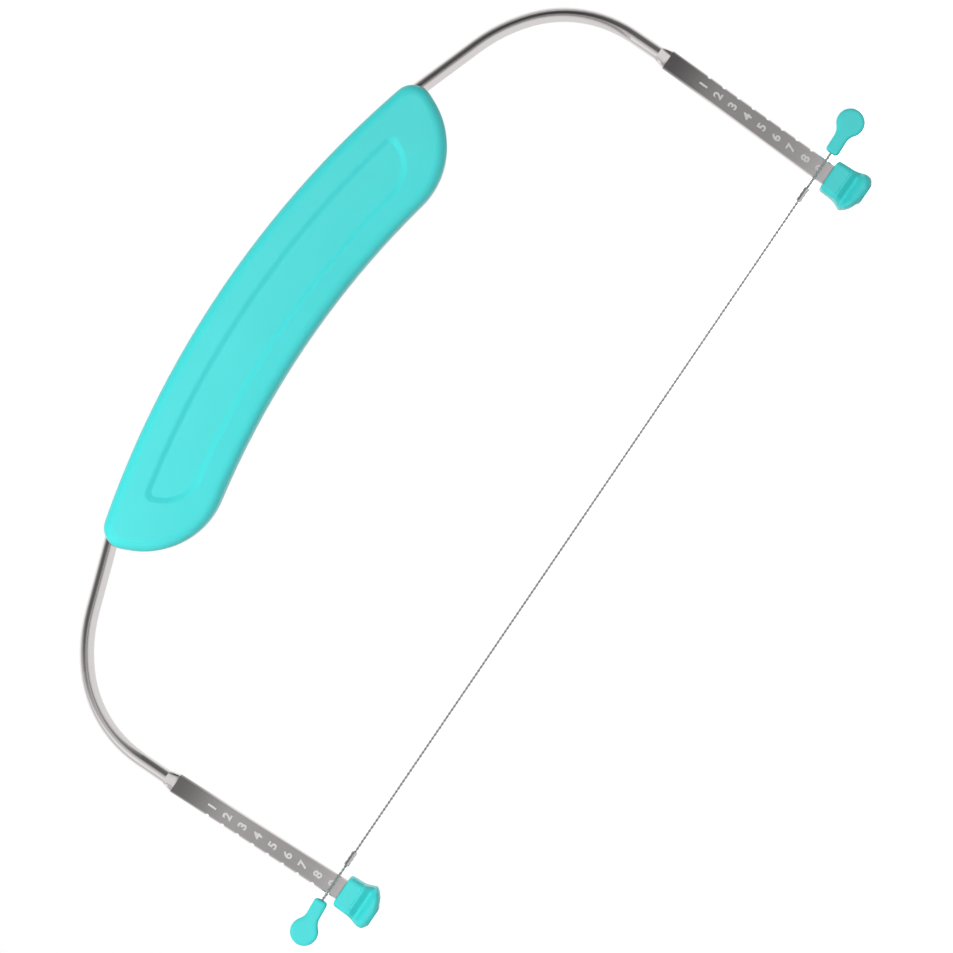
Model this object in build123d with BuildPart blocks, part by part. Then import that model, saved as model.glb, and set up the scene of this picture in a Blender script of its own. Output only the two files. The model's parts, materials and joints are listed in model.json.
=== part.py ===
from build123d import *
from math import asin, cos, degrees, radians, sin, sqrt, tan
import os

# A hand-held cake leveler, standing on its two feet.
# One steel rod is bent into a bow. It carries a two-part handle across its top, and
# its ends are pressed flat into two legs with nine notches each. The cutting wire
# runs from leg to leg, looped round both, and a pull tab hangs on the tip of each loop.
# +X runs along the wire, +Z is up and the numbered faces of the legs face -Y.
# The origin is on the table, midway between the feet. All lengths are in millimetres.

# Whole tool
CUT_WIDTH = 254.0  # clear width between the legs, at the lowest notch
WIRE_HEIGHT = 15.5  # wire above the table in the lowest notch
NOTCH_COUNT = 9
NOTCH_PITCH = 5.4
OVERRUN = 5.0  # how far any cut runs past the faces that it cuts

# Rod
ROD_DIAMETER = 4.4
ROD_UPRIGHT = 9.4  # straight stretch above each leg
ROD_CORNER_RADIUS = 36.8
ROD_CORNER_ANGLE = 49.7
ROD_SHOULDER_RADIUS = 50.0
ROD_RAKE_ANGLE = 19.2  # slope where the rod runs into the handle
ROD_BEND_X = 81.5  # from the middle to the bend inside the handle
ROD_BEND_RADIUS = 60.0
ROD_CROWN_ANGLE = 3.5  # slope left after that bend

# Legs, pressed out of the ends of the rod
LEG_TOP_WIDTH = 6.3
LEG_END_WIDTH = 7.1
LEG_TOP_THICKNESS = 2.6
LEG_END_THICKNESS = 2.3
LEG_TOP_MARGIN = 13.2  # flat stretch above the top notch
LEG_END_HEIGHT = 4.0  # lower end above the table, inside the foot
LEG_LEAN_ANGLE = 1.53  # pulled inwards by the wire
LEG_EDGE_BULGE_share = 0.2  # edge bulge, of the thickness
FLARE_LENGTH = 3.6  # from round rod to flat leg
NOTCH_WIDTH = 1.1
NOTCH_DEPTH = 0.7
NOTCH_SLANT = 25.0

# Handle
HANDLE_HEIGHT = 30.2  # at the middle
HANDLE_DEPTH = 19.0
HANDLE_RISE = 7.15  # from the top of the rod's crown up to the top
HANDLE_CROWN_RADIUS = 303.0
HANDLE_GRIP_RADIUS = 272.5
HANDLE_LOBE_X = 58.8
HANDLE_LOBE_share = 0.81  # radius of a lobe, of the height there
HANDLE_FLANK_LEAN = 24.2
HANDLE_TIP_share = 0.65  # radius at the tip of a flank, of the flank's length
HANDLE_FACE_CROWN = 0.9  # the middle of a face stands this far above its edges
HANDLE_EDGE_ROUND = 3.4
SEAM_WIDTH = 0.4  # shallow groove round the handle where the shells meet
SEAM_DEPTH = 0.25
PANEL_TOP_MARGIN = 8.1
PANEL_BOTTOM_MARGIN = 7.3
PANEL_LOBE_X = 53.5
PANEL_LOBE_share = 0.83
PANEL_FLANK_LEAN = 28.0
PANEL_TIP_share = 0.4
PANEL_DEPTH = 0.8
PANEL_SLOPE_WIDTH = 1.7  # run of the sloped step round the panel
PANEL_EDGE_ROUND = 1.0
SHELL_WALL = 2.2
SHELL_FACE_WALL = 2.8
RIB_THICKNESS = 1.6
RIB_STEP_ANGLE = 5.65
RIB_COUNT = 6
POST_COUNT = 5
POST_DROP = 5.0  # below the middle of the handle
POST_DIAMETER = 5.2
PEG_DIAMETER = 2.6
PEG_LENGTH = 4.6
PEG_CLEARANCE = 0.05
PEG_HOLE_EXTRA = 0.6  # depth left over below a peg
ROD_CLEARANCE = 0.05

# Feet
FOOT_HEIGHT = 12.4
FOOT_TOE = 6.4  # reach towards the cake
FOOT_HEEL = 6.4  # reach outwards
FOOT_DEPTH = 17.0
FOOT_CORNER = 3.2
FOOT_level_shares = (  # height, toe, heel, depth and corner, of the five sizes above
    (0.0, 0.25, 0.70, 0.86, 0.9),
    (0.05, 0.42, 0.85, 0.94, 1.0),
    (0.17, 0.80, 0.99, 1.0, 1.0),
    (0.28, 0.98, 0.99, 0.88, 0.9),
    (0.37, 1.0, 0.95, 0.62, 0.75),
    (0.51, 0.87, 0.87, 0.70, 0.6),
    (0.62, 0.815, 0.855, 0.67, 0.55),
    (1.0, 0.785, 0.83, 0.65, 0.55),
)
FOOT_TOP_ROUND = 1.1
SOCKET_CLEARANCE = 0.05

# Wire, ferrules and tabs
WIRE_DIAMETER = 0.85
STRAND_GAP = 0.15  # between the two strands inside a ferrule
LOOP_CLEARANCE = 0.28  # between the loop and the leg, at the top notch
LOOP_BEND_RADIUS = 1.0
LOOP_TIP_BEND_RADIUS = 0.47
LOOP_THROAT = 2.3  # from the leg's outer side to the closed part of the loop
STOP_DIAMETER = 1.9
STOP_LENGTH = 2.2
STOP_CLEARANCE = 0.08
FERRULE_LENGTH = 4.8
FERRULE_SETBACK = 3.4  # from the leg to the ferrule
FERRULE_HEIGHT = 1.75
FERRULE_DEPTH = 2.75
FERRULE_CHAMFER = 0.2
FERRULE_CLEARANCE = 0.05
CRIMP_WIDTH = 0.9
CRIMP_DEPTH = 0.12
CRIMP_COUNT = 2
TAB_HEAD_DIAMETER = 8.6
TAB_HEAD_REACH = 9.7  # from the hinge line to the middle of the head
TAB_STEM_WIDTH = 4.3
TAB_STEM_REACH = 1.3  # from the hinge line back to the end of the stem
TAB_THICKNESS = 3.9
TAB_BLEND_RADIUS = 4.4
TAB_STEM_ROUND = 1.3
TAB_EDGE_ROUND = 1.1
TAB_SWING = 20.0
TAB_MOUTH_CLEARANCE = 0.14
RIGHT_TAB_TILT = 1.7  # the right head stands a little high
LEFT_TAB_TILT = -4.6  # the left head hangs a little low

# Heights and places that follow from them
top_notch_height = WIRE_HEIGHT + (NOTCH_COUNT - 1) * NOTCH_PITCH
flat_top = top_notch_height + LEG_TOP_MARGIN
flare_top = flat_top + FLARE_LENGTH
rod_corner_height = flare_top + ROD_UPRIGHT


def along_leg(height, top_size, end_size):
    """A size of the leg at this height, between its sizes at the top and at the end."""
    share = (height - LEG_END_HEIGHT) / (flat_top - LEG_END_HEIGHT)
    return end_size + share * (top_size - end_size)


def leg_width(height):
    return along_leg(height, LEG_TOP_WIDTH, LEG_END_WIDTH)


def leg_thickness(height):
    return along_leg(height, LEG_TOP_THICKNESS, LEG_END_THICKNESS)


def leg_x(height):
    """Centre line of the right leg."""
    at_wire = CUT_WIDTH / 2 + leg_width(WIRE_HEIGHT) / 2
    return at_wire + (height - WIRE_HEIGHT) * tan(radians(LEG_LEAN_ANGLE))


def leg_outer_x(height):
    return leg_x(height) + leg_width(height) / 2


def leg_section(height, clearance=0):
    """Two flat faces and two bulged edges, square to the leg."""
    width = leg_width(height) + 2 * clearance
    thickness = leg_thickness(height) + 2 * clearance
    flat = width / 2 - thickness * LEG_EDGE_BULGE_share
    with BuildSketch(Plane((leg_x(height), 0, height))) as section:
        with BuildLine():
            Line((flat, thickness / 2), (-flat, thickness / 2))
            ThreePointArc((-flat, thickness / 2), (-width / 2, 0), (-flat, -thickness / 2))
            Line((-flat, -thickness / 2), (flat, -thickness / 2))
            ThreePointArc((flat, -thickness / 2), (width / 2, 0), (flat, thickness / 2))
        make_face()
    return section.sketch


def rod_section(height):
    """The round rod in four arcs, which match the four sides of a leg section."""
    radius = ROD_DIAMETER / 2
    diagonal = radius * cos(radians(45))
    with BuildSketch(Plane((leg_x(flat_top), 0, height))) as section:
        with BuildLine():
            ThreePointArc((diagonal, diagonal), (0, radius), (-diagonal, diagonal))
            ThreePointArc((-diagonal, diagonal), (-radius, 0), (-diagonal, -diagonal))
            ThreePointArc((-diagonal, -diagonal), (0, -radius), (diagonal, -diagonal))
            ThreePointArc((diagonal, -diagonal), (radius, 0), (diagonal, diagonal))
        make_face()
    return section.sketch


# Centre line of the rod: each side rises from its leg, and the crown joins them
with BuildLine(Plane.XZ) as rod_path:
    upright = Line((leg_x(flat_top), flare_top), (leg_x(flat_top), rod_corner_height))
    corner = JernArc(upright @ 1, upright % 1, ROD_CORNER_RADIUS, ROD_CORNER_ANGLE)
    shoulder_angle = 90 - ROD_RAKE_ANGLE - ROD_CORNER_ANGLE
    shoulder = JernArc(corner @ 1, corner % 1, ROD_SHOULDER_RADIUS, shoulder_angle)
    raked_length = ((shoulder @ 1).X - ROD_BEND_X) / cos(radians(ROD_RAKE_ANGLE))
    raked = Line(shoulder @ 1, (shoulder @ 1) + (shoulder % 1) * raked_length)
    bend = JernArc(raked @ 1, raked % 1, ROD_BEND_RADIUS, ROD_RAKE_ANGLE - ROD_CROWN_ANGLE)
    crown_radius = (bend @ 1).X / sin(radians(ROD_CROWN_ANGLE))
    crown = JernArc(bend @ 1, bend % 1, crown_radius, 2 * ROD_CROWN_ANGLE)
    mirror(objects=[upright, corner, shoulder, raked, bend], about=Plane.YZ)
rod_start = upright @ 0
raked_start = raked @ 0


def rod_height(x):
    """Height of the raked stretch of the rod's centre line."""
    return raked_start.Z + (raked_start.X - x) * tan(radians(ROD_RAKE_ANGLE))


def rod_sweep(diameter):
    with BuildPart() as tube:
        with BuildSketch(Plane(rod_start)):
            Circle(diameter / 2)
        sweep(path=rod_path.wire())
    return tube.part


# One leg: the flare, the flat and the notches in its outer edge
with BuildPart() as right_leg:
    add(rod_section(flare_top))
    add(leg_section(flat_top))
    loft(ruled=True)
    add(leg_section(flat_top))
    add(leg_section(LEG_END_HEIGHT))
    loft(ruled=True)
    notch_heights = [WIRE_HEIGHT + row * NOTCH_PITCH for row in range(NOTCH_COUNT)]
    with BuildSketch(Plane.XZ):
        with Locations([(leg_outer_x(height), height) for height in notch_heights]):
            SlotOverall(2 * NOTCH_DEPTH, NOTCH_WIDTH, rotation=NOTCH_SLANT)
    extrude(amount=LEG_TOP_THICKNESS, both=True, mode=Mode.SUBTRACT)

# Bow frame: the rod with a leg at each end
with BuildPart() as bow_frame:
    add(rod_sweep(ROD_DIAMETER))
    add(right_leg.part)
    mirror(right_leg.part, about=Plane.YZ)

# Handle: heights of its top and underside, and the middle of its curve
handle_top = (crown @ 0.5).Z + ROD_DIAMETER / 2 + HANDLE_RISE
handle_bottom = handle_top - HANDLE_HEIGHT
handle_middle = (handle_top + handle_bottom) / 2
curve_radius = (HANDLE_CROWN_RADIUS + HANDLE_GRIP_RADIUS) / 2
curve_centre = handle_middle - curve_radius


def height_between(x, top_inset, bottom_inset):
    """From the underside up to the top, each of them set in by its inset."""
    top_drop = HANDLE_CROWN_RADIUS - sqrt((HANDLE_CROWN_RADIUS - top_inset) ** 2 - x**2)
    bottom_drop = HANDLE_GRIP_RADIUS - sqrt((HANDLE_GRIP_RADIUS + bottom_inset) ** 2 - x**2)
    return HANDLE_HEIGHT - top_drop + bottom_drop


def arched_outline(top_inset, bottom_inset, lobe_x, lobe_radius, flank_lean, tip_share):
    """Arched top and underside; each end has a round lobe, a flank and a rounded tip."""
    top_radius = HANDLE_CROWN_RADIUS - top_inset
    top_centre = handle_top - HANDLE_CROWN_RADIUS
    bottom_radius = HANDLE_GRIP_RADIUS + bottom_inset
    bottom_centre = handle_bottom - HANDLE_GRIP_RADIUS
    lobe_turn = degrees(asin(lobe_x / (bottom_radius + lobe_radius)))
    lobe_z = bottom_centre + (bottom_radius + lobe_radius) * cos(radians(lobe_turn))
    with BuildSketch() as outline:
        with BuildLine():
            lobe_sweep = 90 + lobe_turn - flank_lean
            lobe = CenterArc((lobe_x, lobe_z), lobe_radius, -90 - lobe_turn, lobe_sweep)
            # The flank runs on until it meets the circle of the top
            rise = (lobe @ 1) - Vector(0, top_centre)
            along = (lobe % 1).dot(rise)
            flank_length = sqrt(along**2 + top_radius**2 - rise.length**2) - along
            flank = Line(lobe @ 1, (lobe @ 1) + (lobe % 1) * flank_length)
            mirror(about=Plane.YZ)
            tip_turn = degrees(asin((flank @ 1).X / top_radius))
            CenterArc((0, bottom_centre), bottom_radius, 90 - lobe_turn, 2 * lobe_turn)
            CenterArc((0, top_centre), top_radius, 90 - tip_turn, 2 * tip_turn)
        make_face()
        tips = outline.vertices().sort_by(Axis.X)
        fillet([tips[0], tips[-1]], tip_share * flank_length)
    return outline.sketch_local


def panel_outline(growth):
    """Outline of the panel, larger all round by the growth."""
    height = height_between(PANEL_LOBE_X, PANEL_TOP_MARGIN, PANEL_BOTTOM_MARGIN)
    return arched_outline(
        PANEL_TOP_MARGIN - growth,
        PANEL_BOTTOM_MARGIN - growth,
        PANEL_LOBE_X,
        PANEL_LOBE_share * height + growth,
        PANEL_FLANK_LEAN,
        PANEL_TIP_share,
    )


handle_outline = arched_outline(
    0,
    0,
    HANDLE_LOBE_X,
    HANDLE_LOBE_share * height_between(HANDLE_LOBE_X, 0, 0),
    HANDLE_FLANK_LEAN,
    HANDLE_TIP_share,
)


def crowned_slab(half_depth):
    """A ring with crowned faces, which follows the handle's curve."""
    reach = HANDLE_HEIGHT / 2 + OVERRUN
    edge_depth = half_depth - HANDLE_FACE_CROWN * (2 * reach / HANDLE_HEIGHT) ** 2
    low = handle_middle - reach
    high = handle_middle + reach
    with BuildPart() as slab:
        with BuildSketch(Plane.YZ):
            with BuildLine():
                middle = (-half_depth, handle_middle)
                ThreePointArc((-edge_depth, low), middle, (-edge_depth, high))
                mirror(about=Plane.YZ)
                Line((-edge_depth, low), (edge_depth, low))
                Line((-edge_depth, high), (edge_depth, high))
            make_face()
        revolve(axis=Axis((0, 0, curve_centre), (0, 1, 0)))
    return slab.part


# Recess of the front panel: sloped sides, and a floor at an even depth below the face
with BuildPart() as panel_recess:
    with BuildSketch(Plane.XZ.offset(HANDLE_DEPTH / 2 + PANEL_DEPTH / 2)):
        add(panel_outline(PANEL_SLOPE_WIDTH / 2))
    with BuildSketch(Plane.XZ.offset(HANDLE_DEPTH / 2 - 3 * PANEL_DEPTH / 2)):
        add(panel_outline(-3 * PANEL_SLOPE_WIDTH / 2))
    loft(ruled=True)
    add(crowned_slab(HANDLE_DEPTH / 2 - PANEL_DEPTH), mode=Mode.SUBTRACT)
    floor_edges = panel_recess.faces().sort_by(Axis.Y)[-1].edges()
    fillet(floor_edges, PANEL_EDGE_ROUND)

# Hollow of the handle: it leaves the ribs and the posts standing
with BuildPart() as hollow:
    with BuildSketch(Plane.XZ):
        offset(handle_outline, amount=-SHELL_WALL)
    extrude(amount=HANDLE_DEPTH / 2 - SHELL_FACE_WALL, both=True)
    curve_plane = Plane(origin=(0, 0, curve_centre), z_dir=(0, -1, 0), x_dir=(1, 0, 0))
    with BuildSketch(curve_plane):
        first_rib = 90 - RIB_STEP_ANGLE * (RIB_COUNT - 1) / 2
        rib_turn = RIB_STEP_ANGLE * RIB_COUNT
        with PolarLocations(curve_radius, RIB_COUNT, first_rib, rib_turn):
            Rectangle(HANDLE_HEIGHT + OVERRUN, RIB_THICKNESS)
        first_post = 90 - RIB_STEP_ANGLE * (POST_COUNT - 1) / 2
        post_turn = RIB_STEP_ANGLE * POST_COUNT
        with PolarLocations(curve_radius - POST_DROP, POST_COUNT, first_post, post_turn):
            Circle(POST_DIAMETER / 2)
    extrude(amount=HANDLE_DEPTH, both=True, mode=Mode.SUBTRACT)

# Groove round the handle where its two shells meet
with BuildPart() as seam:
    with BuildSketch(Plane.XZ):
        offset(handle_outline, amount=OVERRUN)
        offset(handle_outline, amount=-SEAM_DEPTH, mode=Mode.SUBTRACT)
    extrude(amount=SEAM_WIDTH / 2, both=True)

# Whole handle before it is parted into its two shells
with BuildPart() as handle_body:
    with BuildSketch(Plane.XZ):
        add(handle_outline)
    extrude(amount=HANDLE_DEPTH / 2, both=True)
    add(crowned_slab(HANDLE_DEPTH / 2), mode=Mode.INTERSECT)
    front_face = handle_body.faces().sort_by(Axis.Y)[0]
    back_face = handle_body.faces().sort_by(Axis.Y)[-1]
    fillet(front_face.edges() + back_face.edges(), HANDLE_EDGE_ROUND)
    add(panel_recess.part, mode=Mode.SUBTRACT)
    mirror(panel_recess.part, about=Plane.XZ, mode=Mode.SUBTRACT)
    pierced_faces = [face for face in handle_body.faces() if face.inner_wires()]
    for face in pierced_faces:
        fillet(face.inner_wires()[0].edges(), PANEL_EDGE_ROUND)
    add(seam.part, mode=Mode.SUBTRACT)
    add(hollow.part, mode=Mode.SUBTRACT)
    add(rod_sweep(ROD_DIAMETER + 2 * ROD_CLEARANCE), mode=Mode.SUBTRACT)


def pegs(diameter, length):
    """One peg in each post, across the plane where the two shells meet."""
    with BuildPart() as row:
        with BuildSketch(curve_plane):
            with PolarLocations(curve_radius - POST_DROP, POST_COUNT, first_post, post_turn):
                Circle(diameter / 2)
        extrude(amount=length, both=True)
    return row.part


with BuildPart() as handle_front_shell:
    add(handle_body.part)
    split(bisect_by=Plane.XZ, keep=Keep.TOP)
    add(pegs(PEG_DIAMETER, PEG_LENGTH))

with BuildPart() as handle_back_shell:
    add(handle_body.part)
    split(bisect_by=Plane.XZ, keep=Keep.BOTTOM)
    hole_depth = PEG_LENGTH + PEG_HOLE_EXTRA
    add(pegs(PEG_DIAMETER + 2 * PEG_CLEARANCE, hole_depth), mode=Mode.SUBTRACT)

foot_x = leg_x(FOOT_HEIGHT / 2)


def foot_section(height, toe, heel, depth, corner):
    """A rounded section of the right foot, from shares of the foot's sizes."""
    reach = toe * FOOT_TOE + heel * FOOT_HEEL
    middle = foot_x + (heel * FOOT_HEEL - toe * FOOT_TOE) / 2
    with BuildSketch(Plane((middle, 0, height * FOOT_HEIGHT))) as section:
        RectangleRounded(reach, depth * FOOT_DEPTH, corner * FOOT_CORNER)
    return section.sketch


# Right foot: a smooth flange and lip, a plain collar, and a socket for the leg
with BuildPart() as right_foot:
    for level in FOOT_level_shares[:-1]:
        add(foot_section(*level))
    loft()
    for level in FOOT_level_shares[-2:]:
        add(foot_section(*level))
    loft(ruled=True)
    fillet(right_foot.faces().sort_by(Axis.Z)[-1].edges(), FOOT_TOP_ROUND)
    add(leg_section(flat_top, SOCKET_CLEARANCE))
    add(leg_section(LEG_END_HEIGHT, SOCKET_CLEARANCE))
    loft(ruled=True, mode=Mode.SUBTRACT)

with BuildPart() as left_foot:
    mirror(right_foot.part, about=Plane.YZ)

# Wire: a straight span whose ends go round the legs and back into the ferrules
strand_y = (WIRE_DIAMETER + STRAND_GAP) / 2
side_y = leg_thickness(top_notch_height) / 2 + LOOP_CLEARANCE + WIRE_DIAMETER / 2
ferrule_end = CUT_WIDTH / 2 - FERRULE_SETBACK
ferrule_start = ferrule_end - FERRULE_LENGTH
loop_in_x = CUT_WIDTH / 2 + WIRE_DIAMETER
loop_out_x = leg_outer_x(top_notch_height) - WIRE_DIAMETER / 2
neck_x = loop_out_x + LOOP_THROAT
hinge_x = neck_x + WIRE_DIAMETER
tip_x = hinge_x + strand_y
loop_points = [
    (ferrule_end, -strand_y),
    (loop_in_x, -side_y),
    (loop_out_x, -side_y),
    (neck_x, -strand_y),
    (tip_x, -strand_y),
    (tip_x, strand_y),
    (neck_x, strand_y),
    (loop_out_x, side_y),
    (loop_in_x, side_y),
    (ferrule_end, strand_y),
    (ferrule_start + WIRE_DIAMETER, strand_y),
]
left_points = [(-x, y) for x, y in reversed(loop_points)]
bend_radii = [LOOP_BEND_RADIUS] * 4 + [LOOP_TIP_BEND_RADIUS] * 2 + [LOOP_BEND_RADIUS] * 4

with BuildPart() as cutting_wire:
    with BuildLine(Plane.XY.offset(WIRE_HEIGHT)) as wire_path:
        FilletPolyline(*(left_points + loop_points), radius=bend_radii[::-1] + bend_radii)
    with BuildSketch(Plane(wire_path.line @ 0, z_dir=wire_path.line % 0)):
        Circle(WIRE_DIAMETER / 2)
    sweep(path=wire_path.line)
    with BuildSketch(Plane.XZ):
        with Locations((hinge_x, WIRE_HEIGHT), (-hinge_x, WIRE_HEIGHT)):
            Circle(STOP_DIAMETER / 2)
    extrude(amount=STOP_LENGTH / 2, both=True)

# Ferrule: an oval sleeve over both strands, pinched by the crimping tool
with BuildPart() as right_ferrule:
    ferrule_plane = Plane((ferrule_start, 0, WIRE_HEIGHT), x_dir=(0, 1, 0), z_dir=(1, 0, 0))
    with BuildSketch(ferrule_plane):
        SlotOverall(FERRULE_DEPTH, FERRULE_HEIGHT)
    extrude(amount=FERRULE_LENGTH)
    ferrule_ends = right_ferrule.faces().filter_by(Axis.X)
    chamfer(ferrule_ends.edges(), FERRULE_CHAMFER)
    crimp_pitch = FERRULE_LENGTH / (CRIMP_COUNT + 1)
    for crimp in range(CRIMP_COUNT):
        crimp_start = (crimp + 1) * crimp_pitch - CRIMP_WIDTH / 2
        with BuildSketch(ferrule_plane.offset(crimp_start)):
            SlotOverall(FERRULE_DEPTH + OVERRUN, FERRULE_HEIGHT + OVERRUN)
            SlotOverall(
                FERRULE_DEPTH - 2 * CRIMP_DEPTH,
                FERRULE_HEIGHT - 2 * CRIMP_DEPTH,
                mode=Mode.SUBTRACT,
            )
        extrude(amount=CRIMP_WIDTH, mode=Mode.SUBTRACT)
    with BuildSketch(ferrule_plane):
        bore_height = WIRE_DIAMETER + 2 * FERRULE_CLEARANCE
        SlotOverall(2 * strand_y + bore_height, bore_height)
    extrude(amount=FERRULE_LENGTH, mode=Mode.SUBTRACT)

with BuildPart() as left_ferrule:
    mirror(right_ferrule.part, about=Plane.YZ)

# Pull tab, drawn with its hinge line through the origin and its head towards +X
with BuildPart() as tab:
    with BuildSketch(Plane.XZ) as tab_outline:
        with Locations((TAB_HEAD_REACH, 0)):
            Circle(TAB_HEAD_DIAMETER / 2)
        with Locations(((TAB_HEAD_REACH - TAB_STEM_REACH) / 2, 0)):
            Rectangle(TAB_HEAD_REACH + TAB_STEM_REACH, TAB_STEM_WIDTH)
        stem_corners = tab_outline.vertices().group_by(Axis.X)
        fillet(stem_corners[-1], TAB_BLEND_RADIUS)
        fillet(tab_outline.vertices().group_by(Axis.X)[0], TAB_STEM_ROUND)
    extrude(amount=TAB_THICKNESS / 2, both=True)
    fillet(tab.faces().filter_by(Axis.Y).edges(), TAB_EDGE_ROUND)
    with BuildSketch(Plane.XZ):
        Circle(STOP_DIAMETER / 2 + STOP_CLEARANCE)
    extrude(amount=STOP_LENGTH / 2 + STOP_CLEARANCE, both=True, mode=Mode.SUBTRACT)
    # The mouth lets the two strands swing up and down in the end of the stem
    throat = WIRE_DIAMETER / 2 + TAB_MOUTH_CLEARANCE
    mouth_run = TAB_STEM_REACH + OVERRUN
    mouth_rise = throat + mouth_run * tan(radians(TAB_SWING))
    strand_slope = (side_y - strand_y) / LOOP_THROAT
    strand_spread = strand_y + (TAB_STEM_REACH - WIRE_DIAMETER) * strand_slope
    mouth_half = strand_spread + throat
    with BuildSketch(Plane.XZ):
        with BuildLine():
            Polyline(
                (0, throat), (-mouth_run, mouth_rise), (-mouth_run, -mouth_rise), (0, -throat),
                close=True,
            )
        make_face()
    extrude(amount=mouth_half, both=True, mode=Mode.SUBTRACT)

with BuildPart() as right_tab:
    with Locations(Location((hinge_x, 0, WIRE_HEIGHT), (0, -RIGHT_TAB_TILT, 0))):
        add(tab.part)

with BuildPart() as left_tab:
    with Locations(Location((-hinge_x, 0, WIRE_HEIGHT), (0, LEFT_TAB_TILT, 180))):
        add(tab.part)

# Write each piece
os.makedirs("parts", exist_ok=True)

bow_frame.part.label = "bow_frame"
export_step(bow_frame.part, "parts/bow_frame.step")

handle_front_shell.part.label = "handle_front_shell"
export_step(handle_front_shell.part, "parts/handle_front_shell.step")

handle_back_shell.part.label = "handle_back_shell"
export_step(handle_back_shell.part, "parts/handle_back_shell.step")

left_foot.part.label = "left_foot"
export_step(left_foot.part, "parts/left_foot.step")

right_foot.part.label = "right_foot"
export_step(right_foot.part, "parts/right_foot.step")

cutting_wire.part.label = "cutting_wire"
export_step(cutting_wire.part, "parts/cutting_wire.step")

left_ferrule.part.label = "left_ferrule"
export_step(left_ferrule.part, "parts/left_ferrule.step")

right_ferrule.part.label = "right_ferrule"
export_step(right_ferrule.part, "parts/right_ferrule.step")

left_tab.part.label = "left_tab"
export_step(left_tab.part, "parts/left_tab.step")

right_tab.part.label = "right_tab"
export_step(right_tab.part, "parts/right_tab.step")
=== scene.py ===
import json
import math

import bmesh
import bpy
from mathutils import Matrix, Vector


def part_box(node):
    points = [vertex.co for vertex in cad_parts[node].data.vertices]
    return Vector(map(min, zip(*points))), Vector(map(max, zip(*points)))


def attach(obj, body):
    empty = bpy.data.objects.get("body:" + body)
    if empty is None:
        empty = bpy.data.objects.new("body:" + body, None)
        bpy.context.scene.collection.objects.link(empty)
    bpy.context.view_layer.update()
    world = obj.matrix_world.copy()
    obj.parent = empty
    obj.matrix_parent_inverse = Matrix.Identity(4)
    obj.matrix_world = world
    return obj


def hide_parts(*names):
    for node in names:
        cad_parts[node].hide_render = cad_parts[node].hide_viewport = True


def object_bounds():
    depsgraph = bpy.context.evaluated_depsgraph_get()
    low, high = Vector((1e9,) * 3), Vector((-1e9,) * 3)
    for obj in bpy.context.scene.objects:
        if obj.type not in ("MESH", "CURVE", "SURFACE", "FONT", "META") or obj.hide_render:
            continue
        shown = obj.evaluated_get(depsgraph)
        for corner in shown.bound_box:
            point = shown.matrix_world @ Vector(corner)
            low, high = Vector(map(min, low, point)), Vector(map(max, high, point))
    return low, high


# Looks of the cake leveler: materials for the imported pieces, the nine numbers on each
# leg, and the twisted wire. Lengths are in metres, with +X along the wire, +Z up and
# the numbered front towards -Y.
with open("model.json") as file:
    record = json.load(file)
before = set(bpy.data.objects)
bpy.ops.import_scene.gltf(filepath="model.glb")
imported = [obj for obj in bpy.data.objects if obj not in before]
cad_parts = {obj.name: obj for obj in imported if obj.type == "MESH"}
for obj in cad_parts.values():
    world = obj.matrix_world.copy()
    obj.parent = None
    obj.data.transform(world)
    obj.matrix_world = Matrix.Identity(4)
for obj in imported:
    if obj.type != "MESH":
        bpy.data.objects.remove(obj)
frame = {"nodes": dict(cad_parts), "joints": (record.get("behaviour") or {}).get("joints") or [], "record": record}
cad_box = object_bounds()

MM = 0.001
RIGHT = Vector((1, 0, 0))
FRONT = Vector((0, -1, 0))
UP = Vector((0, 0, 1))

# Photograph and camera
PHOTO_SIZE = 953  # pixels each way
PHOTO_MM_PER_PIXEL = 0.3018
PHOTO_ROLL_DEG = 55.756  # the wire climbs to the right at this angle
AIM_X = -4.47 * MM  # the point at the middle of the photograph
AIM_Z = 49.0 * MM
CAMERA_DISTANCE = 1.6
CAMERA_REACH = 20.0
SENSOR_WIDTH = 36.0  # in millimetres

# Legs
CLEAR_WIDTH = 254.0 * MM  # between the legs, at the wire in its lowest notch
LEG_WIDTH = 6.96 * MM  # at the same height
LEG_LEAN_DEG = 1.53  # the wire pulls their lower ends inwards
LEG_PAINTED_SHADE_FROM = 50.0 * MM  # painted shade: the flats are coloured darker from here ...
LEG_PAINTED_SHADE_TO = 72.0 * MM  # ... to here, where they end
LEG_PAINTED_SHADE_SHARE = 0.35  # of the steel's colour, where the painted shade is darkest

# Numbers
NOTCH_COUNT = 9
NOTCH_PITCH = 5.4 * MM
NUMBER_SIZE = 3.8 * MM
NUMBER_BOLDNESS = 0.12 * MM
NUMBER_LIFT = 0.02 * MM  # in front of the leg
NUMBER_THICKNESS = 0.02 * MM

# Twisted wire, its loops round the legs and the stops at their tips
STRAND_COUNT = 2
STRAND_RADIUS = 0.22 * MM
STRAND_SIDES = 8
TWIST_RADIUS = 0.23 * MM
TWIST_PITCH = 2.6 * MM
STEPS_PER_TWIST = 10
WIRE_DIAMETER = 0.85 * MM
RUN_OFFSET = 0.5 * MM  # the two runs of a closed loop, in front of and behind Y = 0
LOOP_THROAT = 2.3 * MM
LOOP_BEND = 1.0 * MM
TIP_BEND = 0.47 * MM
BEND_STEPS = 8
STOP_RADIUS = 0.95 * MM
STOP_LENGTH = 2.2 * MM
STOP_SIDES = 20

# Colours, as linear values
WHITE = (1.0, 1.0, 1.0)
TURQUOISE = (0.056, 0.7, 0.69)
STEEL = (0.8, 0.76, 0.76)
WIRE_GREY = (0.72, 0.71, 0.71)
FERRULE_GREY = (0.86, 0.84, 0.84)
NUMBER_GREY = (0.66, 0.65, 0.65)
FLOOR_GREY = (0.7, 0.7, 0.7)

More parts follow.
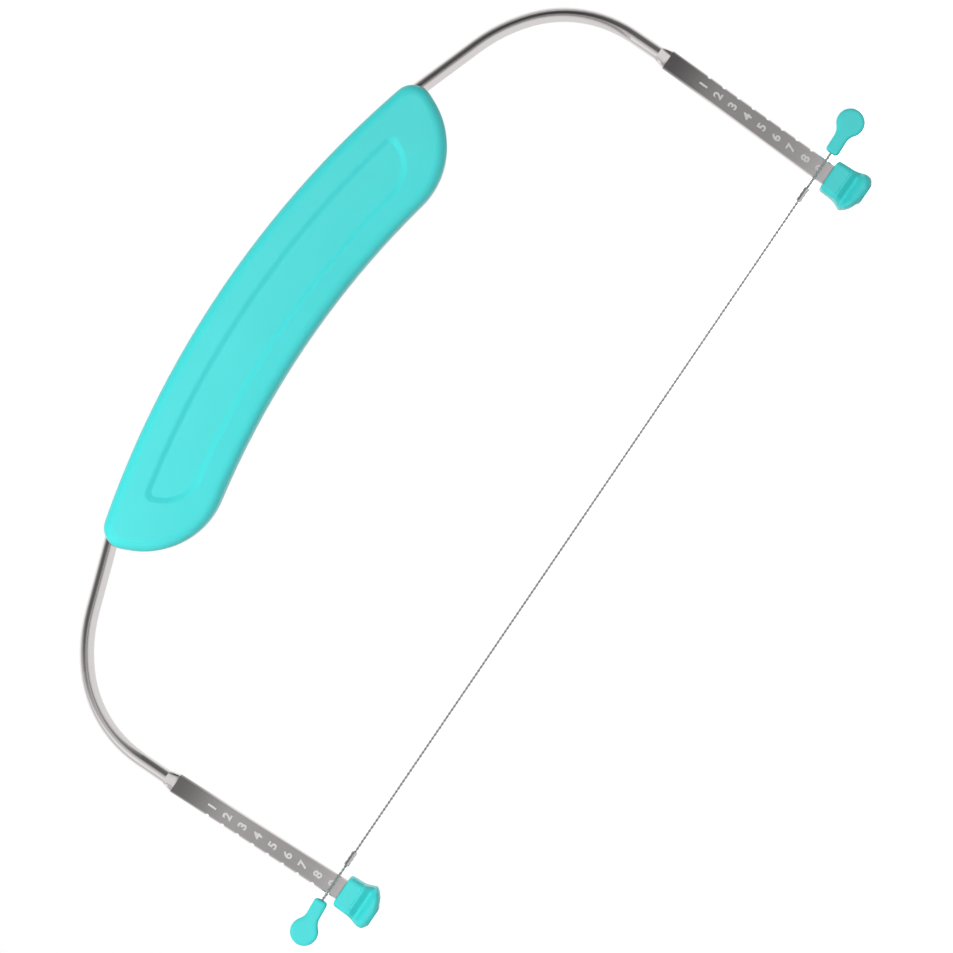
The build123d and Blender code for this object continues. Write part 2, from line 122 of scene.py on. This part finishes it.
# Light on rough surfaces, as levels at which 1 shows a colour as it is written
WORLD_BASE = 0.14
WORLD_FRONT = 3.1
WORLD_FOCUS = 8.0  # how closely the light keeps to the front and the back
FLOOR_LIFT = 0.8  # makes the floor white to the camera

# White surround that bright metal mirrors, dimmer at the sides, above and below
SURROUND_DIM = 0.5  # square to the camera's direction
SURROUND_REACH = 0.4  # white where the cosine to that direction is more than this

# Dark openings in that surround: degrees from the camera, which way, cosine at the rim
OPENINGS = ((42.0, RIGHT, 0.62), (46.0, UP, 0.56))
OPENING_CORE = 0.91  # cosine at the edge of the dark middle
OPENING_DARK = 0.12

# Floor, and how bright metal mirrors it: darker towards the camera
FLOOR_HALF = 4.0
FLOOR_NEAR_Y = -0.8
FLOOR_NEAR_LEVEL = 0.25
FLOOR_FAR_Y = -0.15
FLOOR_FAR_LEVEL = 0.85

# Soft lamps, one in front on the upper left and a low one behind: place, and power
LAMP_SIZE = 0.4
LAMP_TARGET = (0, 0, 0.07)
LAMPS = {
    "front_lamp": ((-0.42, -0.5, 0.53), 4.1),
    "back_lamp": ((0.38, 0.75, 0.22), 3.0),
}


def add_object(name, data):
    thing = bpy.data.objects.new(name, data)
    bpy.context.scene.collection.objects.link(thing)
    return thing


def feed(tree, source, socket):
    """Links a node's output to a socket, or sets the socket to a number."""
    if isinstance(source, float):
        socket.default_value = source
    else:
        tree.links.new(source, socket)


def combine(tree, operation, first, second=0.0):
    """A sum of this kind on one or two values."""
    node = tree.nodes.new("ShaderNodeMath")
    node.operation = operation
    feed(tree, first, node.inputs[0])
    feed(tree, second, node.inputs[1])
    return node.outputs[0]


def choose(tree, factor, first, second):
    """The first value where the factor is 0, and the second where it is 1."""
    node = tree.nodes.new("ShaderNodeMix")
    tree.links.new(factor, node.inputs["Factor"])
    feed(tree, first, node.inputs["A"])
    feed(tree, second, node.inputs["B"])
    return node.outputs["Result"]


def level(tree, value, low, high, at_low, at_high, curve="LINEAR"):
    """Maps a value from low..high on to at_low..at_high, and holds it there beyond."""
    node = tree.nodes.new("ShaderNodeMapRange")
    node.interpolation_type = curve
    node.inputs["From Min"].default_value = low
    node.inputs["From Max"].default_value = high
    node.inputs["To Min"].default_value = at_low
    node.inputs["To Max"].default_value = at_high
    tree.links.new(value, node.inputs["Value"])
    return node.outputs["Result"]


def ray_kinds(tree):
    """Two factors: 1 for rays that see the background plainly, and 1 for mirrored rays."""
    rays = tree.nodes.new("ShaderNodeLightPath")
    through = rays.outputs["Is Transmission Ray"]
    plainly = combine(tree, "MAXIMUM", rays.outputs["Is Camera Ray"], through)
    return plainly, rays.outputs["Is Glossy Ray"]


def new_material(name, metallic=0.0):
    """A node material, its node tree and its shader."""
    material = bpy.data.materials.new(name)
    material.use_nodes = True
    tree = material.node_tree
    shader = tree.nodes["Principled BSDF"]
    shader.inputs["Metallic"].default_value = metallic
    return material, tree, shader


def coordinates(tree, stretch=(1.0, 1.0, 1.0)):
    """Object coordinates, each multiplied by a number."""
    source = tree.nodes.new("ShaderNodeTexCoord")
    mapping = tree.nodes.new("ShaderNodeMapping")
    mapping.inputs["Scale"].default_value = stretch
    tree.links.new(source.outputs["Object"], mapping.inputs["Vector"])
    return mapping.outputs["Vector"]


def coordinate(tree, axis):
    """One of the object coordinates."""
    parts = tree.nodes.new("ShaderNodeSeparateXYZ")
    tree.links.new(coordinates(tree), parts.inputs["Vector"])
    return parts.outputs[axis]


def noise(tree, scale, detail, stretch=(1.0, 1.0, 1.0)):
    """A pattern from 0 to 1, whose patches are about 1 / scale metres wide."""
    node = tree.nodes.new("ShaderNodeTexNoise")
    node.inputs["Scale"].default_value = scale
    node.inputs["Detail"].default_value = detail
    tree.links.new(coordinates(tree, stretch), node.inputs["Vector"])
    return node.outputs["Fac"]


def share_of(colour, share):
    return tuple(share * part for part in colour)


def paint(tree, shader, pattern, first, second):
    """Base colour from first to second, as the pattern goes from 0 to 1."""
    node = tree.nodes.new("ShaderNodeMix")
    node.data_type = "RGBA"
    node.inputs["A"].default_value = (*first, 1.0)
    node.inputs["B"].default_value = (*second, 1.0)
    tree.links.new(pattern, node.inputs["Factor"])
    tree.links.new(node.outputs["Result"], shader.inputs["Base Color"])


def roughen(tree, shader, pattern, low, high):
    """Roughness from low to high, as the pattern goes from 0 to 1."""
    roughness = level(tree, pattern, 0.0, 1.0, low, high)
    tree.links.new(roughness, shader.inputs["Roughness"])


def bump(tree, shader, pattern, strength, depth):
    """Relief of this depth, in metres."""
    node = tree.nodes.new("ShaderNodeBump")
    node.inputs["Strength"].default_value = strength
    node.inputs["Distance"].default_value = depth
    tree.links.new(pattern, node.inputs["Height"])
    tree.links.new(node.outputs["Normal"], shader.inputs["Normal"])


def turquoise_plastic():
    """Injection-moulded plastic: an even colour, a soft gloss and a faint orange peel."""
    material, tree, shader = new_material("turquoise_plastic")
    cloud = noise(tree, scale=60.0, detail=2.0)
    darker = share_of(TURQUOISE, share=0.96)
    lighter = share_of(TURQUOISE, share=1.04)
    paint(tree, shader, cloud, darker, lighter)
    peel = noise(tree, scale=900.0, detail=3.0)
    roughen(tree, shader, peel, low=0.3, high=0.4)
    bump(tree, shader, peel, strength=0.12, depth=0.05 * MM)
    shader.inputs["IOR"].default_value = 1.49
    return material


def polished_steel():
    """Bright drawn steel; the flats of the legs carry a painted shade, coloured darker towards their tops, where
    they mirror dimmer light.
    """
    material, tree, shader = new_material("polished_steel", metallic=1.0)
    # Painted shade: the base colour darkens up the top of each leg's flat, standing in for the dimmer light
    # mirrored there
    height = coordinate(tree, "Z")
    shade = level(tree, height, LEG_PAINTED_SHADE_FROM, LEG_PAINTED_SHADE_TO, 0.0, 1.0, curve="SMOOTHSTEP")
    on_leg = combine(tree, "LESS_THAN", height, LEG_PAINTED_SHADE_TO)
    shade = combine(tree, "MULTIPLY", shade, on_leg)
    paint(tree, shader, shade, STEEL, share_of(STEEL, LEG_PAINTED_SHADE_SHARE))
    marks = noise(tree, scale=1.0, detail=3.0, stretch=(3000.0, 3000.0, 60.0))
    roughen(tree, shader, marks, low=0.1, high=0.16)
    bump(tree, shader, marks, strength=0.03, depth=0.02 * MM)
    return material


def wire_steel():
    """Fine stainless strands with a soft shine."""
    material, tree, shader = new_material("wire_steel", metallic=1.0)
    marks = noise(tree, scale=3000.0, detail=2.0)
    paint(tree, shader, marks, share_of(WIRE_GREY, share=0.85), WIRE_GREY)
    roughen(tree, shader, marks, low=0.4, high=0.55)
    return material


def ferrule_metal():
    """Soft plated sleeve, dented and scuffed by the crimping tool."""
    material, tree, shader = new_material("ferrule_metal", metallic=1.0)
    scuffs = noise(tree, scale=1500.0, detail=4.0)
    paint(tree, shader, scuffs, share_of(FERRULE_GREY, share=0.6), FERRULE_GREY)
    roughen(tree, shader, scuffs, low=0.35, high=0.55)
    bump(tree, shader, scuffs, strength=0.2, depth=0.05 * MM)
    return material


def number_marking():
    """Pale etched marking, slightly uneven."""
    material, tree, shader = new_material("number_marking")
    patches = noise(tree, scale=2500.0, detail=3.0)
    paint(tree, shader, patches, share_of(NUMBER_GREY, share=0.8), NUMBER_GREY)
    roughen(tree, shader, patches, low=0.5, high=0.7)
    return material


finishes = {
    "turquoise_plastic": turquoise_plastic(),
    "polished_steel": polished_steel(),
    "wire_steel": wire_steel(),
    "ferrule_metal": ferrule_metal(),
}
marking = number_marking()
for subpart in frame["record"]["subparts"]:
    for slot in frame["nodes"][subpart["node"]].material_slots:
        slot.material = finishes[subpart["material_slot"]]

# Places on the wire, from the frame
tab_joint = next(joint for joint in frame["joints"] if joint["name"] == "right_tab_tilt")
hinge_x = tab_joint["pos_m"][0]
wire_height = tab_joint["pos_m"][2]
ferrule_low, ferrule_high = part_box("right_ferrule")
side_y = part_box("cutting_wire")[1].y - WIRE_DIAMETER / 2


def leg_front(x, z):
    """The point on the front of a leg at this place, found by looking at it from the front."""
    start = Vector((x, cad_box[0].y, z))
    return frame["nodes"]["bow_frame"].ray_cast(start, -FRONT)[1]


def leg_middle(z):
    """X of the middle of the right leg's width at this height."""
    lean = math.tan(math.radians(LEG_LEAN_DEG))
    return (CLEAR_WIDTH + LEG_WIDTH) / 2 + (z - wire_height) * lean


def add_number(side_name, side, digit):
    name = f"{side_name}_number_{digit}"
    text = bpy.data.curves.new(name, "FONT")
    text.body = str(digit)
    text.size = NUMBER_SIZE
    text.align_x = "CENTER"
    text.align_y = "CENTER"
    text.extrude = NUMBER_THICKNESS
    text.offset = NUMBER_BOLDNESS
    text.materials.append(marking)
    piece = add_object(name, text)
    height = wire_height + (NOTCH_COUNT - digit) * NOTCH_PITCH
    surface = leg_front(side * leg_middle(height), height)
    piece.location = surface + FRONT * NUMBER_LIFT
    piece.rotation_euler = (math.radians(90), 0, 0)
    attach(piece, "frame")


# Numbers 1 to 9 on the front of each leg, 9 at the lowest notch
for side_name, side in (("left", -1), ("right", 1)):
    for digit in range(1, NOTCH_COUNT + 1):
        add_number(side_name, side, digit)


# Path of the wire: out of the ferrule, round the leg, round the stop at the tip and back
loop_in_x = CLEAR_WIDTH / 2 + WIRE_DIAMETER
neck_x = hinge_x - WIRE_DIAMETER
loop_out_x = neck_x - LOOP_THROAT
front_run = [
    (ferrule_high.x, -RUN_OFFSET),
    (loop_in_x, -side_y),
    (loop_out_x, -side_y),
    (neck_x, -RUN_OFFSET),
    (hinge_x + RUN_OFFSET, -RUN_OFFSET),
]
back_run = [(x, -y) for x, y in reversed(front_run)]
loop_end = (ferrule_low.x + WIRE_DIAMETER, RUN_OFFSET)
loop_points = [*front_run, *back_run, loop_end]
run_bends = [LOOP_BEND] * (len(front_run) - 1) + [TIP_BEND]
loop_bends = run_bends + run_bends[::-1]
wire_points = [(-x, y) for x, y in reversed(loop_points)] + loop_points
wire_bends = loop_bends[::-1] + loop_bends


def rounded(points, radii):
    """A path of straight runs, whose corners are arcs of these radii."""
    corners = [Vector((x, y, 0.0)) for x, y in points]
    path = [corners[0]]
    for before, corner, after, radius in zip(corners, corners[1:], corners[2:], radii):
        to_before = (before - corner).normalized()
        to_after = (after - corner).normalized()
        half = to_before.angle(to_after) / 2
        reach = radius / math.tan(half)
        centre = corner + (to_before + to_after).normalized() * (radius / math.sin(half))
        first = corner + to_before * reach - centre
        last = corner + to_after * reach - centre
        turn = first.angle(last)
        axis = first.cross(last).normalized()
        for k in range(BEND_STEPS + 1):
            path.append(centre + Matrix.Rotation(turn * k / BEND_STEPS, 3, axis) @ first)
    path.append(corners[-1])
    return path


def evenly_spaced(path, step):
    """Points along a path, a step apart."""
    even = [path[0]]
    left = step
    for here, there in zip(path, path[1:]):
        run = (there - here).length
        while run >= left:
            here = here + (there - here).normalized() * left
            even.append(here)
            run -= left
            left = step
        left -= run
    return even


def spoke(across, turns):
    """Direction out from the wire, this many turns from across towards +Z."""
    angle = 2 * math.pi * turns
    return across * math.cos(angle) + UP * math.sin(angle)


def add_strand(mesh, path, first_turn):
    """One strand, wound round the path from this share of a turn on."""
    rings = []
    for k, point in enumerate(path):
        ahead = path[min(k + 1, len(path) - 1)]
        behind = path[max(k - 1, 0)]
        across = UP.cross((ahead - behind).normalized())
        outward = spoke(across, k / STEPS_PER_TWIST + first_turn)
        middle = point + outward * TWIST_RADIUS + UP * wire_height
        ring = []
        for side in range(STRAND_SIDES):
            around = spoke(across, side / STRAND_SIDES)
            ring.append(mesh.verts.new(middle + around * STRAND_RADIUS))
        rings.append(ring)
    for one, two in zip(rings, rings[1:]):
        for side in range(STRAND_SIDES):
            other = (side + 1) % STRAND_SIDES
            mesh.faces.new((one[side], two[side], two[other], one[other]))
    mesh.faces.new(rings[0])
    mesh.faces.new(rings[-1][::-1])


def add_stop(mesh, x):
    """The round stop at the tip of a loop, along Y."""
    place = Matrix.Translation((x, 0, wire_height)) @ Matrix.Rotation(math.pi / 2, 4, "X")
    bmesh.ops.create_cone(
        mesh,
        cap_ends=True,
        segments=STOP_SIDES,
        radius1=STOP_RADIUS,
        radius2=STOP_RADIUS,
        depth=STOP_LENGTH,
        matrix=place,
    )


def add_twisted_wire():
    """Two strands wound round the path of the plain wire, and a stop at each tip."""
    path = evenly_spaced(rounded(wire_points, wire_bends), TWIST_PITCH / STEPS_PER_TWIST)
    mesh = bmesh.new()
    for strand in range(STRAND_COUNT):
        add_strand(mesh, path, strand / STRAND_COUNT)
    for x in (-hinge_x, hinge_x):
        add_stop(mesh, x)
    bmesh.ops.recalc_face_normals(mesh, faces=mesh.faces)
    data = bpy.data.meshes.new("twisted_wire")
    mesh.to_mesh(data)
    mesh.free()
    for face in data.polygons:
        face.use_smooth = True
    data.materials.append(finishes["wire_steel"])
    piece = add_object("twisted_wire", data)
    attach(piece, "wire")
    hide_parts("cutting_wire")


add_twisted_wire()


def add_floor():
    """White to the camera, with a soft shadow."""
    data = bpy.data.meshes.new("floor")
    signs = ((-1, -1), (1, -1), (1, 1), (-1, 1))
    corners = [(x * FLOOR_HALF, y * FLOOR_HALF, 0) for x, y in signs]
    data.from_pydata(corners, [], [(0, 1, 2, 3)])
    material, tree, shader = new_material("floor")
    shader.inputs["Base Color"].default_value = (*FLOOR_GREY, 1.0)
    shader.inputs["Roughness"].default_value = 1.0
    shader.inputs["Specular IOR Level"].default_value = 0.0
    shader.inputs["Emission Color"].default_value = (*WHITE, 1.0)
    plainly, mirrored = ray_kinds(tree)
    lift = combine(tree, "MULTIPLY", plainly, FLOOR_LIFT)
    tree.links.new(lift, shader.inputs["Emission Strength"])
    shine = tree.nodes.new("ShaderNodeEmission")
    brightness = level(
        tree,
        coordinate(tree, "Y"),
        FLOOR_NEAR_Y,
        FLOOR_FAR_Y,
        FLOOR_NEAR_LEVEL,
        FLOOR_FAR_LEVEL,
    )
    tree.links.new(brightness, shine.inputs["Strength"])
    mix = tree.nodes.new("ShaderNodeMixShader")
    tree.links.new(mirrored, mix.inputs["Fac"])
    tree.links.new(shader.outputs["BSDF"], mix.inputs[1])
    tree.links.new(shine.outputs["Emission"], mix.inputs[2])
    surface = tree.nodes["Material Output"].inputs["Surface"]
    tree.links.new(mix.outputs["Shader"], surface)
    data.materials.append(material)
    add_object("floor", data)


add_floor()


def closeness(tree, direction):
    """Cosine of the angle between this direction and the one that a ray goes in."""
    source = tree.nodes.new("ShaderNodeTexCoord")
    node = tree.nodes.new("ShaderNodeVectorMath")
    node.operation = "DOT_PRODUCT"
    node.inputs[1].default_value = direction
    tree.links.new(source.outputs["Generated"], node.inputs[0])
    return node.outputs["Value"]


def add_world():
    """White to the camera. Rough surfaces get their light mostly from the front and the
    back, and bright metal mirrors a surround of its own.
    """
    world = bpy.data.worlds.new("tent")
    bpy.context.scene.world = world
    world.use_nodes = True
    tree = world.node_tree
    front = combine(tree, "ABSOLUTE", closeness(tree, FRONT))
    rough = combine(tree, "POWER", front, WORLD_FOCUS)
    rough = combine(tree, "MULTIPLY", rough, WORLD_FRONT)
    rough = combine(tree, "ADD", rough, WORLD_BASE)
    surround = level(tree, front, 0.0, SURROUND_REACH, SURROUND_DIM, 1.0)
    for degrees, way, rim in OPENINGS:
        angle = math.radians(degrees)
        middle = FRONT * math.cos(angle) + way * math.sin(angle)
        opening = level(tree, closeness(tree, middle), rim, OPENING_CORE, 1.0, OPENING_DARK)
        surround = combine(tree, "MULTIPLY", surround, opening)
    plainly, mirrored = ray_kinds(tree)
    strength = choose(tree, mirrored, rough, surround)
    strength = choose(tree, plainly, strength, 1.0)
    background = tree.nodes["Background"]
    background.inputs["Color"].default_value = (*WHITE, 1.0)
    tree.links.new(strength, background.inputs["Strength"])


add_world()


def add_lamp(name, place, power):
    data = bpy.data.lights.new(name, "AREA")
    data.shape = "DISK"
    data.size = LAMP_SIZE
    data.energy = power
    lamp = add_object(name, data)
    lamp.location = place
    aim = Vector(LAMP_TARGET) - Vector(place)
    lamp.rotation_euler = aim.to_track_quat("-Z", "Y").to_euler()
    lamp.visible_glossy = False


for name, (place, power) in LAMPS.items():
    add_lamp(name, place, power)


def add_camera():
    """Looks along +Y, and is rolled as the photograph is."""
    roll = math.radians(PHOTO_ROLL_DEG)
    right = Vector((math.cos(roll), 0, -math.sin(roll)))
    up = Vector((math.sin(roll), 0, math.cos(roll)))
    back = right.cross(up)
    place = Vector((AIM_X, 0, AIM_Z)) + back * CAMERA_DISTANCE
    turn = Matrix((right, up, back)).transposed().to_4x4()
    data = bpy.data.cameras.new("camera")
    data.sensor_fit = "HORIZONTAL"
    data.sensor_width = SENSOR_WIDTH
    data.lens = SENSOR_WIDTH * CAMERA_DISTANCE / (PHOTO_SIZE * PHOTO_MM_PER_PIXEL * MM)
    data.clip_end = CAMERA_REACH
    camera = add_object("camera", data)
    camera.matrix_world = Matrix.Translation(place) @ turn
    bpy.context.scene.camera = camera


add_camera()
bpy.context.scene.view_settings.view_transform = "Standard"
